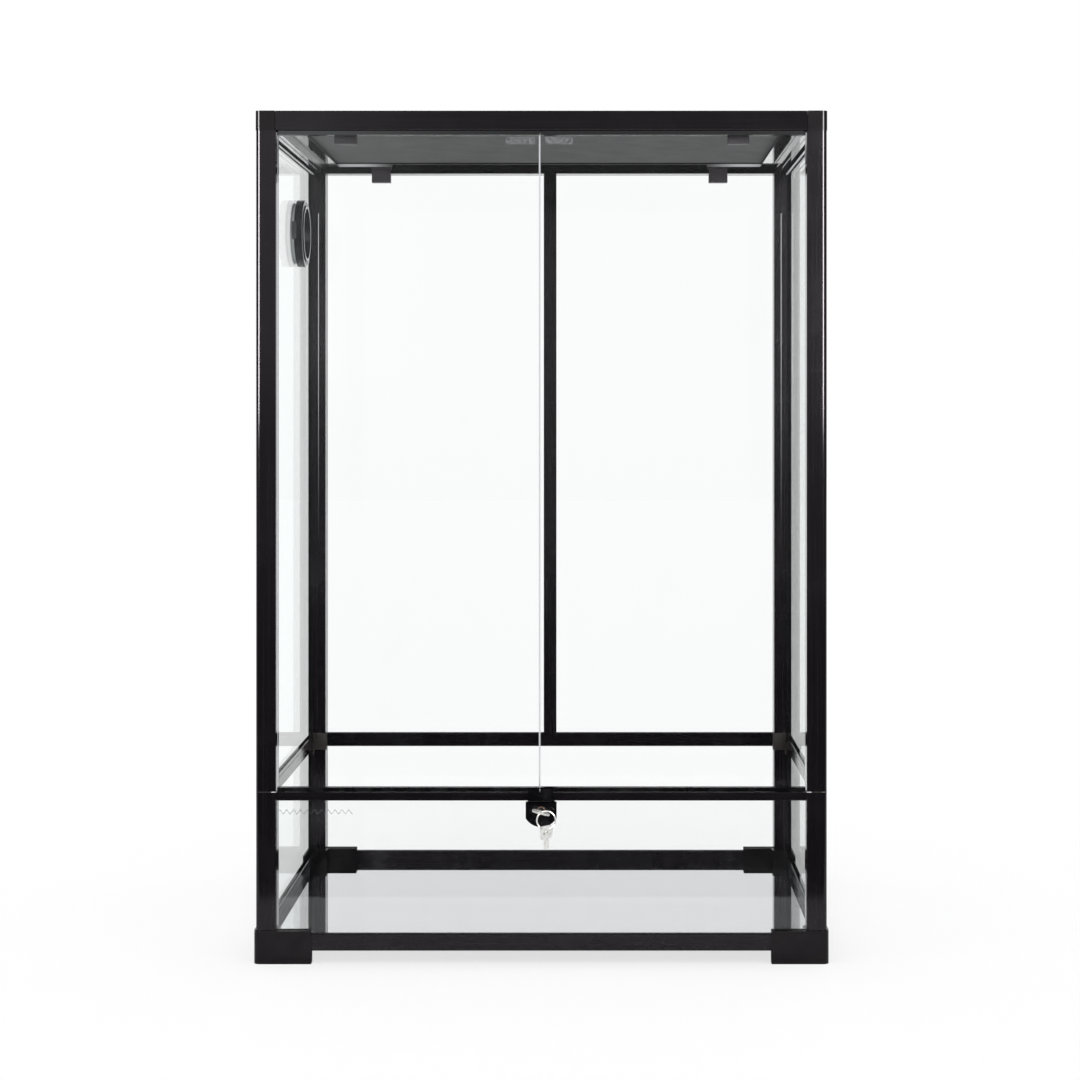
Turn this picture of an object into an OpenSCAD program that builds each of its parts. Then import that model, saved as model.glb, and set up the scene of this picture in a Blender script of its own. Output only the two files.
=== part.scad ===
/* [Cabinet] */
// Width of the cabinet over the corner posts
frame_w = 603; // [450:1:900]
// Depth of the cabinet over the corner posts
frame_d = 447; // [400:1:600]
// Height from the table to the top face
frame_h = 900; // [700:1:1100]
// Height of the joint between the lower and the upper posts
seam_z = 181; // [140:1:260]
// Width of a corner post, the same on both faces
post_w = 21.5; // [20:0.5:28]
// Radius of the post's outer corner
post_r = 4.5; // [2:0.5:6]
// Depth of a rail that frames the glass
rail_t = 7; // [6.6:0.1:8.5]

/* [Glass] */
// Thickness of the fixed panes and the doors
glass_t = 4; // [3:0.5:4.5]
// Play of a pane in its groove, each side
glass_play = 0.2; // [0.1:0.05:0.3]
// Outer lip of a glass groove
lip = 1.2; // [1:0.1:1.6]
// How far a pane goes into the post grooves
post_bite = 7; // [5:0.5:9]

/* [Rails] */
// Underside of the bottom rails above the table
bottom_z = 13.6; // [11:0.2:18]
// Height of a bottom rail
bottom_h = 17.8; // [15:0.1:24]
// Depth of the glass groove in a bottom rail
bottom_bite = 9; // [6:0.5:11]
// Width of the ledge that carries the floor pane
ledge_w = 9; // [6:0.5:14]
// Thickness of that ledge
ledge_t = 1.6; // [1.2:0.1:2.4]
// Height of the rear and side mid rails
mid_h = 16.7; // [15:0.1:22]
// Depth of the glass grooves in the mid rails and the divider
mid_bite = 6; // [4:0.5:6.5]
// Height of the front mid rail, the doors' sill
sill_h = 8.6; // [8.4:0.1:14]
// Depth of the sill
sill_d = 12; // [11:0.5:16]
// Width of the upright divider between the rear panes
divider_w = 15.8; // [14:0.2:22]
// Height of the top rails
top_h = 20.5; // [19:0.5:26]
// Height of the top rail's inner face, up to the screen's seat
seat_h = 6.5; // [5:0.5:8]
// Depth of the top rail's outer wall behind which the screen sits
top_wall = 12.5; // [12:0.5:14]
// Depth of the glass groove in the top rails
top_bite = 8; // [6:0.5:9]

/* [Feet and corners] */
// Height of a foot
foot_h = 35; // [34.5:0.5:40]
// Length of a foot's arms
foot_arm = 60.7; // [40:0.1:90]
// Wall of a foot around the rails
foot_wall = 2; // [1.6:0.1:3]
// How far the feet stand proud of the posts
proud = 2; // [1.6:0.1:3]
// How far the top corner blocks stand proud of the posts
block_proud = 0.5; // [0.3:0.1:1.5]
// Side of a top corner block
block_w = 20.7; // [20.5:0.1:21.2]
// Length of the plugs inside the posts and rails
plug_l = 34; // [15:1:50]
// Play of a plug in its profile
plug_play = 0.2; // [0.1:0.05:0.3]

/* [Doors] */
// Distance of the hinge axis behind the front face
hinge_d = 5.5; // [5.3:0.1:6.5]
// Distance of the hinge axis from the post
hinge_x = 5.7; // [5.6:0.1:8]
// Radius of a hinge pin
pin_r = 2.5; // [1.5:0.1:2.8]
// Radial clearance of a hinge pin in its hole
pin_play = 0.08; // [0.03:0.01:0.1]
// Height of the strips along the top and bottom of a door
strip_h = 4.4; // [4:0.1:7]
// Thickness of those strips
strip_t = 8; // [7.6:0.1:9]
// Gap above and below a door
door_gap = 0.6; // [0.5:0.1:1.5]
// Gap between the two doors' glass
seam_gap = 1.6; // [1:0.1:4]
// Gap between the two doors' strips
strip_gap = 0.5; // [0.4:0.1:1]
// Where the doors meet, from the cabinet's middle
seam_x = -1.4; // [-4:0.1:4]

/* [Screen] */
// Width of the screen's frame members
screen_w = 27.3; // [25:0.1:34]
// Height of the screen's frame
screen_h = 8.5; // [7:0.5:11]
// Thickness of the pads under the frame's corners
pad_t = 2.5; // [1.5:0.1:4]
// Thickness of the mesh
mesh_t = 0.8; // [0.5:0.1:1.2]
// Openings of the mesh across the cabinet
mesh_cols = 12; // [6:1:12]
// Openings of the mesh from front to rear
mesh_rows = 12; // [4:1:12]
// Width of the bars between the openings
mesh_bar = 8; // [2:0.5:12]
// Play between the screen's frame and the rails
screen_play = 0.3; // [0.2:0.1:0.6]
// Distance of a clip's middle from the cabinet's side
clip_inset = 92; // [89:0.5:140]
// Width of a clip
clip_w = 23; // [14:0.5:30]
// How far a clip hangs below the top rail
clip_drop = 12; // [8:0.5:20]
// Travel of a clip
clip_travel = 4; // [2:0.5:5]

/* [Lock] */
// Width of the lock housing
lock_w = 32.5; // [30:0.5:40]
// Height of the barrel's axis above the housing's lower end
lock_low = 17.2; // [16:0.1:26]
// Distance of the barrel's axis below the sill
lock_drop = 8.7; // [7:0.1:12]
// How far the housing stands in front of the cabinet
lock_proud = 11; // [10.5:0.1:14]
// Radius of the barrel
barrel_r = 5; // [4:0.1:6]
// Radius of the cam that the barrel turns
cam_r = 14; // [12.5:0.1:14.5]
// Width of a key's bow
bow_d = 19; // [17:0.5:24]
// Height of a key's bow
bow_h = 13.5; // [12:0.5:17]
// Thickness of a key
key_t = 1.6; // [1.2:0.1:2]
// Radius of the key ring's centre line
ring_r = 9.8; // [7:0.1:14]
// Radius of the key ring's wire
wire_r = 0.8; // [0.5:0.1:1]

/* [Port] */
// Distance of the port's centre behind the front face
port_y = 292; // [120:1:330]
// Distance of the port's centre below the top face
port_drop = 106.3; // [80:0.1:400]
// Radius of the port's clear bore
port_r = 30; // [20:0.5:32]
// Wall of the port's tube
port_wall = 3; // [2:0.1:4]
// Width of the port's outer flange
port_rim = 3.5; // [2:0.1:6]
// Width of its twist ring
ring_rim = 6.5; // [4:0.1:8]
// How far the port stands into the cabinet
port_in = 11; // [8:0.5:16]

/* [Hidden] */
$fn = 48;

// Cuts run this far past a face
eps = 0.5;
// Play between parts that are put in place once
fit = 0.3;
// Signs of the cabinet's sides
left = -1;
right = 1;
front = -1;
rear = 1;
frame_color = [0.09, 0.085, 0.09];
glass_color = [0.80, 0.88, 0.86, 0.35];
metal_color = [0.80, 0.80, 0.78];

// Glass plane: outer face of the panes and width of their grooves
groove_w = glass_t + 2 * glass_play;
pane_d = lip + glass_play;
// Gap left past a pane's edge in a groove
edge_gap = 1;
// Levels
bottom_top = bottom_z + bottom_h;
pane_low = bottom_top - bottom_bite;
joiner_t = 0.8;
mid_drop = 1.5;
mid_top = seam_z - mid_drop;
mid_low = mid_top - mid_h;
sill_top = seam_z - joiner_t / 2;
sill_low = sill_top - sill_h;
sill_bite = 4.5;
top_low = frame_h - top_h;
seat_z = top_low + seat_h;
// Inner faces of the cabinet, half sizes
in_x = frame_w / 2 - post_w;
in_y = frame_d / 2 - post_w;
rail_fit = 0.2;
// Lines pressed along the rails' inner faces, and flutes below the top rails
line_d = 0.4;
line_w = 0.8;
line_drop = 3;
flute_d = 0.8;
flute_w = 1.5;
flute_in = 16;

// Hollow core of a post, and of a top rail
core_low = 8.5;
post_wall = 2.5;
core_w = post_w - core_low - post_wall;
tube_d = 8.6;
tube_w = 2.8;
tube_low = 2.5;
tube_h = top_h - 2 * tube_low;
// Free fit of rails and posts in a foot
foot_fit = 0.15;
foot_r = post_r + proud;

// Doors
hinge_ax = in_x - hinge_x;
door_low = sill_top + door_gap;
door_top = top_low - door_gap;
strip_floor = 1.4;
strip_free = 0.5;
strip_bite = strip_h - strip_floor;
post_gap = 1.2;
door_edge = hinge_x - post_gap;
pin_l = 3.2;
hole_l = 3.6;
// A door lifts by this much over its lower pins when it is taken out
pin_more = 2;

// Screen
screen_d = top_wall + screen_play;
screen_low = seat_z + pad_t;
mesh_up = 2.5;
mesh_z = screen_low + mesh_up;
mesh_bite = 2.6;
// Stud under each side member of the screen's frame
stud_in = 18;
stud_r = 2.5;
stud_h = 4;
clip_x = frame_w / 2 - clip_inset;
pad_in = 14.5;
clip_seat = 0.4;
clip_stem = 6;
clip_slot = 8;
clip_toe = 4.5;

// Lock
lock_z = sill_low - lock_drop;
lock_top = sill_low - 1;
lock_front = 1.3;
lock_bevel = 0.8;
neck_t = 2;
neck_in = 2;
cam_t = 2;
cam_gap = 0.6;
// Half angle of the cam; unlocked it points left, below both catches
cam_angle = 33;
cam_free = 0.5;
catch_w = 12;
catch_t = 4;
catch_back = 2.5;
catch_bevel = 1.5;
catch_low = lock_top + eps;
barrel_play = 0.06;
barrel_out = 1;
barrel_end = 2.3;
key_slot = 9;
blade_w = 6.4;
blade_play = 0.1;
neck_l = 2;
key_tilt = 15;
hole_r = 2.3;
hole_in = 3.2;
key_front = lock_proud + barrel_out + neck_l + bow_h;
ring_lean = 55;
spare_turn = 50;
hang_gap = 0.35;
// Height of the bow's hole above the key's shoulder
bow_hole_z = neck_l + bow_h - hole_in - hole_r;

// The origin is under the middle of everything, the key included
shift_y = (key_front - proud) / 2;

module place() translate([0, shift_y, 0]) children();
// Local corner frame: x and y run inward from the post's outer corner
module at_corner(ix, iy)
    translate([ix * frame_w / 2, iy * frame_d / 2, 0])
        mirror([ix > 0 ? 1 : 0, 0, 0]) mirror([0, iy > 0 ? 1 : 0, 0]) children();
// A section in depth and height, run along a side or along the front or rear
module run_side(ix, len)
    translate([ix * frame_w / 2, 0, 0]) mirror([ix > 0 ? 1 : 0, 0, 0])
        rotate([90, 0, 0]) linear_extrude(height = len, center = true) children();
module run_end(iy, len)
    translate([0, iy * frame_d / 2, 0]) mirror([0, iy > 0 ? 1 : 0, 0])
        rotate([90, 0, 90]) linear_extrude(height = len, center = true) children();
// Square of side w with its outer corner rounded
module corner_plan(w, r) {
    translate([r, r]) circle(r);
    translate([r, 0]) square([w - r, w]);
    translate([0, r]) square([w, w - r]);
}
// Bar in section whose outer edges are bevelled
module bar(d, z0, h, c = 0.8)
    polygon([[c, z0], [d, z0], [d, z0 + h], [c, z0 + h], [0, z0 + h - c], [0, z0 + c]]);
module groove(z0, h) translate([lip, z0]) square([groove_w, h]);
// Line pressed into a rail's inner face, below its top
module inner_line(top) translate([rail_t - line_d, top - line_drop - line_w]) square([line_d + eps, line_w]);

// Feet: moulded channels that the rails and the post drop into
module foot_plan(grow = 0) {
    wide = rail_t + foot_fit + foot_wall + grow;
    big = post_w + foot_fit + foot_wall + grow;
    long = foot_arm - proud + grow;
    translate([-proud, -proud]) corner_plan(big + proud, foot_r);
    translate([big - eps, -proud]) square([long - big + eps, wide + proud]);
    translate([-proud, big - eps]) square([wide + proud, long - big + eps]);
}
module foot(ix, iy) color(frame_color) at_corner(ix, iy) {
    wide = rail_t + 2 * foot_fit;
    post_pocket = post_w + 2 * foot_fit;
    floor_t = 3.2;
    skirt = 2.2;
    rib_gap = 4;
    rib_t = 1.6;
    difference() {
        linear_extrude(height = foot_h) foot_plan();
        translate([-foot_fit, -foot_fit, bottom_z]) cube([post_pocket, post_pocket, foot_h]);
        translate([-foot_fit, -foot_fit, bottom_z]) cube([foot_arm, wide, foot_h]);
        translate([-foot_fit, -foot_fit, bottom_z]) cube([wide, foot_arm, foot_h]);
        // Hollow underside, with a rib across each arm
        inner = rail_t + foot_wall + proud - 2 * skirt;
        for (a = [0, 1]) mirror([a, -a, 0])
            for (x0 = [post_w + rib_gap, (post_w + foot_arm + rib_gap) / 2])
                translate([x0, -proud + skirt, -eps])
                    cube([(foot_arm - post_w - 3 * rib_gap) / 2, inner, bottom_z - floor_t + eps]);
        translate([rib_t / 2, rib_t / 2, -eps])
            cube([post_w - rib_t / 2, post_w - rib_t / 2, bottom_z - floor_t + eps]);
    }
    // Stiffening ribs under the post
    for (a = [0, 1]) mirror([a, -a, 0])
        translate([post_w / 2 - rib_t, 0, 0]) cube([rib_t, post_w + eps, bottom_z - floor_t / 2]);
}

// Bottom rails: glass groove on top, ledge for the floor pane inside
module bottom_rail(along_x, s) {
    len = 2 * (along_x ? in_x : in_y) - 2 * rail_fit;
    ledge = len - 2 * (foot_arm - proud - post_w) - 2 * edge_gap;
    color(frame_color) if (along_x) {
        run_end(s, len) bottom_section();
        run_end(s, ledge) ledge_section();
    } else {
        run_side(s, len) bottom_section();
        run_side(s, ledge) ledge_section();
    }
}
module bottom_section() difference() {
    bar(rail_t, bottom_z, bottom_h);
    groove(pane_low, bottom_bite + eps);
    inner_line(bottom_top);
}
module ledge_section() translate([rail_t - eps, bottom_z]) square([ledge_w + eps, ledge_t]);

module floor_glass() color(glass_color)
    translate([0, 0, bottom_z + ledge_t]) linear_extrude(height = glass_t) difference() {
        inset = rail_t + fit;
        square([frame_w - 2 * inset, frame_d - 2 * inset], center = true);
        for (ix = [left, right], iy = [front, rear])
            translate([ix * frame_w / 2, iy * frame_d / 2]) mirror([ix > 0 ? 1 : 0, 0])
                mirror([0, iy > 0 ? 1 : 0]) foot_plan(fit);
    }

// Posts: hollow profiles with grooves for the panes beside them
module post_section(pane_front) difference() {
    corner_plan(post_w, post_r);
    translate([core_low, core_low]) square([core_w, core_w]);
    slot = post_bite + edge_gap;
    translate([lip, post_w - slot]) square([groove_w, slot + eps]);
    if (pane_front) translate([post_w - slot, lip]) square([slot + eps, groove_w]);
}
module post(ix, iy, z0, z1, pane_front) color(frame_color)
    at_corner(ix, iy) translate([0, 0, z0]) linear_extrude(height = z1 - z0) post_section(pane_front);
module lower_post(ix, iy) post(ix, iy, bottom_z, seam_z - joiner_t / 2, true);
module upper_post(ix, iy) post(ix, iy, seam_z + joiner_t / 2, top_low, iy == rear);

// Joiners: plug in both posts, plate at the seam, strap and pointed gusset inside
strap_t = 1.5;
strap_in = 13;
strap_h = mid_h + 4.1;
gusset_w = 21;
gusset_tip = 13;
gusset_low = 4.5;
module post_joiners() color(frame_color)
    for (ix = [left, right], iy = [front, rear]) at_corner(ix, iy) {
        plug = core_w - 2 * plug_play;
        strap_z = seam_z + joiner_t / 2 - strap_h;
        translate([core_low + plug_play, core_low + plug_play, seam_z - plug_l])
            cube([plug, plug, 2 * plug_l]);
        translate([0, 0, seam_z - joiner_t / 2]) {
            linear_extrude(height = joiner_t) post_section(true);
            translate([core_low, core_low, 0]) cube([core_w, core_w, joiner_t]);
        }
        // The strap reaches the side rail and ends in a pointed gusset on it
        translate([rail_t, post_w, strap_z])
            cube([post_w - rail_t + (iy == rear ? strap_t : -edge_gap), strap_t, strap_h]);
        if (iy == rear)
            translate([post_w, strap_in, strap_z]) cube([strap_t, post_w - strap_in + strap_t, strap_h]);
        translate([rail_t, post_w, strap_z]) rotate([90, 0, 90]) linear_extrude(height = strap_t)
            polygon([[0, strap_h], [gusset_w, strap_h], [gusset_tip, strap_h / 2],
                [gusset_tip, -gusset_low], [0, 0]]);
    }

// Mid rails and divider: H sections that hold the panes on both sides
module h_section(low, high) difference() {
    bar(rail_t, low, high - low);
    groove(low - eps, mid_bite + eps);
    groove(high - mid_bite, mid_bite + eps);
}
module mid_section() difference() {
    h_section(mid_low, mid_top);
    inner_line(mid_top);
}
module mid_rail_side(ix) color(frame_color) run_side(ix, 2 * in_y - 2 * rail_fit) mid_section();
module mid_rail_rear() color(frame_color) run_end(rear, 2 * in_x - 2 * rail_fit) mid_section();
module rear_divider() color(frame_color)
    translate([0, frame_d / 2, mid_top]) mirror([0, 1, 0]) linear_extrude(height = top_low - mid_top)
        rotate(90) h_section(-divider_w / 2, divider_w / 2);

// Sill: front mid rail, with the lower pane below and the doors' pins above
module sill_rail_front() color(frame_color) difference() {
    run_end(front, 2 * in_x - 2 * rail_fit) difference() {
        bar(sill_d, sill_low, sill_h);
        groove(sill_low - eps, sill_bite + eps);
    }
    for (s = [left, right]) translate([s * hinge_ax, -frame_d / 2 + hinge_d, sill_top - hole_l])
        cylinder(r = pin_r + pin_play, h = hole_l + eps);
}

// Panes
module pane_end(s, x0, x1, z0, z1) color(glass_color)
    translate([0, s * frame_d / 2, 0]) mirror([0, s > 0 ? 1 : 0, 0])
        translate([x0, pane_d, z0]) cube([x1 - x0, glass_t, z1 - z0]);
module pane_side(s, z0, z1) color(glass_color)
    translate([s * frame_w / 2, 0, 0]) mirror([s > 0 ? 1 : 0, 0, 0])
        translate([pane_d, -in_y - post_bite, z0]) cube([glass_t, 2 * (in_y + post_bite), z1 - z0]);
pane_x = in_x + post_bite;
lower_top = mid_low + mid_bite - edge_gap / 2;
upper_low = mid_top - mid_bite;
upper_top = top_low + top_bite - edge_gap;
module lower_glass_front() pane_end(front, -pane_x, pane_x, pane_low, sill_low + sill_bite - edge_gap / 2);
module lower_glass_rear() pane_end(rear, -pane_x, pane_x, pane_low, lower_top);
module lower_glass_side(s) pane_side(s, pane_low, lower_top);
module upper_glass_rear(s) {
    inner = divider_w / 2 - mid_bite + edge_gap;
    pane_end(rear, s > 0 ? inner : -pane_x, s > 0 ? pane_x : -inner, upper_low, upper_top);
}
module upper_glass_right() pane_side(right, upper_low, upper_top);
module upper_glass_left() difference() {
    pane_side(left, upper_low, upper_top);
    at_port() translate([0, 0, -eps]) cylinder(r = port_hole, h = rail_t + glass_t, $fn = 96);
}

// Top corners: blocks on the posts, plugged into post and rails
module top_corner(ix, iy) color(frame_color) at_corner(ix, iy) {
    plug = core_w - 2 * plug_play;
    tongue = tube_w - 2 * plug_play;
    difference() {
        translate([-block_proud, -block_proud, top_low]) linear_extrude(height = top_h)
            corner_plan(block_w, post_r + block_proud);
        translate([top_wall, top_wall, seat_z]) cube([block_w, block_w, top_h]);
        for (a = [0, 1]) mirror([a, -a, 0])
            translate([post_w - post_bite - edge_gap, lip, top_low - eps])
                cube([block_w, groove_w, top_bite + eps]);
    }
    translate([core_low + plug_play, core_low + plug_play, top_low - plug_l])
        cube([plug, plug, plug_l + eps]);
    for (a = [0, 1]) mirror([a, -a, 0])
        translate([block_w - block_proud - eps, tube_d + plug_play, top_low + tube_low + plug_play])
            cube([plug_l / 2 + eps, tongue, tube_h - 2 * plug_play]);
}

// Top rails: glass groove below, seat for the screen inside
module top_section(pane) difference() {
    bar(top_wall, top_low, top_h, 1);
    if (pane) groove(top_low - eps, top_bite + eps);
    flute(tube_d);
    translate([tube_d, top_low + tube_low]) square([tube_w, tube_h]);
}
module flute(d) translate([d, top_low - eps]) square([flute_w, flute_d + eps]);
// Inner step that the screen rests on, with a shallow drip groove along its face
module seat_section() difference() {
    drip_d = 0.6;
    drip_h = 1.6;
    translate([top_wall - eps, top_low]) square([post_w - top_wall + eps, seat_h]);
    translate([post_w - drip_d, top_low + (seat_h - drip_h) / 2]) square([drip_d + eps, drip_h]);
    flute(flute_in);
}
function top_len(half) = 2 * (half + post_w - block_w + block_proud - 2 * rail_fit);
module top_rail_side(s) color(frame_color) {
    run_side(s, top_len(in_y)) top_section(true);
    run_side(s, 2 * in_y - 2 * rail_fit) seat_section();
}
module top_rail_rear() color(frame_color) {
    run_end(rear, top_len(in_x)) top_section(true);
    run_end(rear, top_len(in_x)) seat_section();
}
module top_rail_front() color(frame_color) difference() {
    union() {
        run_end(front, top_len(in_x)) top_section(false);
        run_end(front, top_len(in_x)) seat_section();
    }
    for (s = [left, right]) translate([s * hinge_ax, -frame_d / 2 + hinge_d, top_low - eps])
        cylinder(r = pin_r + pin_play, h = hole_l + pin_more + eps);
}

// Doors: a pane between two strips, the strips turn on their pins
function door_x0(s, gap) = s < 0 ? -hinge_ax : seam_x + gap / 2;
function door_x1(s, gap) = s < 0 ? seam_x - gap / 2 : hinge_ax;
module door_glass(s) color(glass_color) {
    x0 = door_x0(s, seam_gap) - (s < 0 ? door_edge : 0);
    len = door_x1(s, seam_gap) - door_x0(s, seam_gap) + door_edge;
    translate([x0, -frame_d / 2 + hinge_d - glass_t / 2, door_low + strip_floor])
        cube([len, glass_t, door_top - door_low - 2 * strip_floor]);
}
module strip(s, pin) {
    end_r = hinge_x - strip_free;
    difference() {
        union() {
            translate([door_x0(s, strip_gap), -strip_t / 2, 0])
                cube([door_x1(s, strip_gap) - door_x0(s, strip_gap), strip_t, strip_h]);
            translate([s * hinge_ax, 0, 0]) intersection() {
                cylinder(r = end_r, h = strip_h);
                translate([-end_r, -strip_t / 2, 0]) cube([2 * end_r, strip_t, strip_h]);
            }
        }
        translate([-frame_w / 2, -groove_w / 2, strip_h - strip_bite])
            cube([frame_w, groove_w, strip_bite + eps]);
    }
    translate([s * hinge_ax, 0, -pin]) cylinder(r = pin_r, h = pin + eps);
}
module door_strips(s) color(frame_color) translate([0, -frame_d / 2 + hinge_d, 0]) {
    translate([0, 0, door_low]) strip(s, door_gap + pin_l);
    translate([0, 0, door_top]) mirror([0, 0, 1]) strip(s, door_gap + pin_l + pin_more);
}
// Catch: hangs in front of the sill, over the lock housing
module door_catch(s) color(frame_color) {
    x0 = seam_x + s * strip_gap / 2 + (s < 0 ? -catch_w : 0);
    strip_front = hinge_d - strip_t / 2;
    translate([x0, -frame_d / 2 - catch_back - catch_t, catch_low]) difference() {
        cube([catch_w, catch_t, door_low + strip_h - catch_low]);
        translate([-eps, 0, -catch_bevel]) rotate([45, 0, 0])
            cube([catch_w + 2 * eps, catch_bevel * sqrt(2), catch_bevel * sqrt(2)]);
    }
    translate([x0, -frame_d / 2 - catch_back - eps, door_low])
        cube([catch_w, catch_back + strip_front + eps, strip_h]);
}

// Lock: shield-shaped housing, slotted for the cam
module shield(w, low, high) intersection() {
    round_r = 0.58 * w;
    translate([-w / 2, low]) square([w, high - low]);
    translate([0, low + round_r]) circle(r = round_r, $fn = 96);
}
module at_lock() translate([0, -frame_d / 2, lock_z]) rotate([90, 0, 0]) children();
module lock_housing() color(frame_color) difference() {
    union() {
        at_lock() translate([0, 0, -lock_front]) linear_extrude(height = lock_front + lock_proud - lock_bevel)
            shield(lock_w, -lock_low, lock_top - lock_z);
        at_lock() linear_extrude(height = lock_proud)
            shield(lock_w - 2 * lock_bevel, lock_bevel - lock_low, lock_top - lock_z - lock_bevel);
        at_lock() linear_extrude(height = neck_t) translate([-lock_w / 2 + neck_in, 0])
            square([lock_w - 2 * neck_in, door_low - 2 * door_gap + fit / 2 - lock_z]);
    }
    at_lock() translate([0, 0, neck_t]) cylinder(r = barrel_r + barrel_play, h = lock_proud);
    at_lock() translate([0, 0, cam_back - fit]) cylinder(r = cam_r + cam_free, h = cam_t + 2 * fit);
    // Flat that lets the lower part of the housing clear the sill
    translate([-lock_w, -frame_d / 2, sill_low - eps]) cube([2 * lock_w, lock_front + eps, sill_h]);
}
cam_back = catch_back + catch_t + cam_gap;
module lock_barrel() color(metal_color) at_lock() difference() {
    cam_tip = 3 * cam_r;
    union() {
        translate([0, 0, barrel_end]) cylinder(r = barrel_r, h = lock_proud + barrel_out - barrel_end);
        translate([0, 0, cam_back]) linear_extrude(height = cam_t) intersection() {
            circle(cam_r);
            polygon([[0, 0], [-cam_tip, cam_tip * tan(cam_angle)], [-cam_tip, -cam_tip * tan(cam_angle)]]);
        }
    }
    rotate(-key_tilt) translate([0, 0, lock_proud + barrel_out - key_slot / 2 + eps])
        cube([blade_w + 2 * blade_play, key_t + 2 * blade_play, key_slot + 2 * eps], center = true);
}

// Keys: blade along z, bow at its end with a hole for the ring
module key_shape() {
    blade = key_slot - fit;
    translate([-blade_w / 2, -key_t / 2, -blade]) cube([blade_w, key_t, blade + neck_l + 1]);
    difference() {
        translate([0, 0, neck_l + bow_h / 2]) intersection() {
            rotate([90, 0, 0]) cylinder(d = bow_d, h = key_t, center = true);
            cube([bow_d, 2 * key_t, bow_h], center = true);
        }
        translate([0, 0, bow_hole_z]) rotate([90, 0, 0])
            cylinder(r = hole_r, h = 2 * key_t, center = true);
    }
}
key_hole = lock_proud + barrel_out + bow_hole_z;
module lock_key() color(metal_color) at_lock() rotate(-key_tilt)
    translate([0, 0, lock_proud + barrel_out]) key_shape();
// Ring: hangs through the bow's hole, leaning to one side
module at_ring() at_lock() translate([0, 0, key_hole]) rotate(-ring_lean) children();
module key_ring() color(metal_color) at_ring() translate([ring_r, 0, 0])
    rotate_extrude($fn = 64) translate([ring_r, 0]) circle(r = wire_r, $fn = 20);
// Spare key: hangs from the lowest point of the ring
module spare_key() color(metal_color) at_lock() {
    hang_y = -ring_r * sin(ring_lean) - ring_r - hole_r + wire_r + hang_gap;
    translate([ring_r * cos(ring_lean), hang_y, key_hole])
        rotate([-90, spare_turn, 0]) translate([0, 0, -bow_hole_z]) key_shape();
}

// Port: tube with an outer flange, clamped by the twist ring inside
module at_port() translate([-frame_w / 2 + pane_d, -frame_d / 2 + port_y, frame_h - port_drop])
    rotate([0, 90, 0]) children();
flange_t = 1.1;
port_hole = port_r + port_wall + fit;
module port_tube() color(frame_color) at_port() difference() {
    tube_l = flange_t + glass_t + port_in;
    union() {
        translate([0, 0, -flange_t]) cylinder(r = port_r + port_wall, h = tube_l, $fn = 96);
        translate([0, 0, -flange_t]) cylinder(r = port_r + port_wall + port_rim, h = flange_t, $fn = 96);
    }
    translate([0, 0, -flange_t - eps]) cylinder(r = port_r, h = tube_l + 2 * eps, $fn = 96);
}
module port_ring() color(frame_color) at_port() translate([0, 0, glass_t + glass_play]) difference() {
    rim = port_r + port_wall + ring_rim;
    ring_h = port_in - port_wall / 2;
    lug_w = 20;
    lug_out = 16;
    union() {
        cylinder(r = rim, h = ring_h, $fn = 96);
        translate([-lug_w / 2, -rim - lug_out, 0]) cube([lug_w, lug_out + ring_rim, ring_h / 2]);
    }
    translate([0, 0, -eps]) cylinder(r = port_r + port_wall + barrel_play, h = ring_h + 2 * eps, $fn = 96);
}

// Screen: frame with corner pads that rest on the rails, and the mesh in its groove
module screen_plan(d) square([frame_w - 2 * d, frame_d - 2 * d], center = true);
module screen_frame() color(frame_color) difference() {
    union() {
        translate([0, 0, screen_low]) linear_extrude(height = screen_h) difference() {
            screen_plan(screen_d);
            screen_plan(screen_d + screen_w);
        }
        translate([0, 0, seat_z]) linear_extrude(height = pad_t + eps) difference() {
            screen_plan(screen_d);
            screen_plan(screen_d + screen_w);
            square([2 * (clip_x - pad_in), frame_d], center = true);
        }
        for (s = [left, right]) translate([s * (frame_w / 2 - screen_d - stud_in), 0, screen_low - stud_h])
            cylinder(r = stud_r, h = stud_h + eps);
    }
    translate([0, 0, mesh_z]) linear_extrude(height = mesh_t) screen_plan(screen_d + screen_w - mesh_bite);
    for (ix = [left, right], iy = [front, rear]) at_clip(ix, iy)
        translate([-clip_slot / 2, -clip_travel - fit, -eps])
            cube([clip_slot, clip_stem + clip_travel + 2 * fit, 3 * screen_h]);
}
// Woven wire, shown as a plain grid of openings
module screen_mesh() color([0.35, 0.35, 0.35]) translate([0, 0, mesh_z])
    linear_extrude(height = mesh_t) difference() {
        pitch_x = (frame_w - 2 * (screen_d + screen_w)) / mesh_cols;
        pitch_y = (frame_d - 2 * (screen_d + screen_w)) / mesh_rows;
        screen_plan(screen_d + screen_w - mesh_bite + fit / 2);
        for (i = [0:mesh_cols - 1], j = [0:mesh_rows - 1])
            translate([(i - (mesh_cols - 1) / 2) * pitch_x, (j - (mesh_rows - 1) / 2) * pitch_y])
                square([pitch_x - mesh_bar, pitch_y - mesh_bar], center = true);
    }

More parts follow.
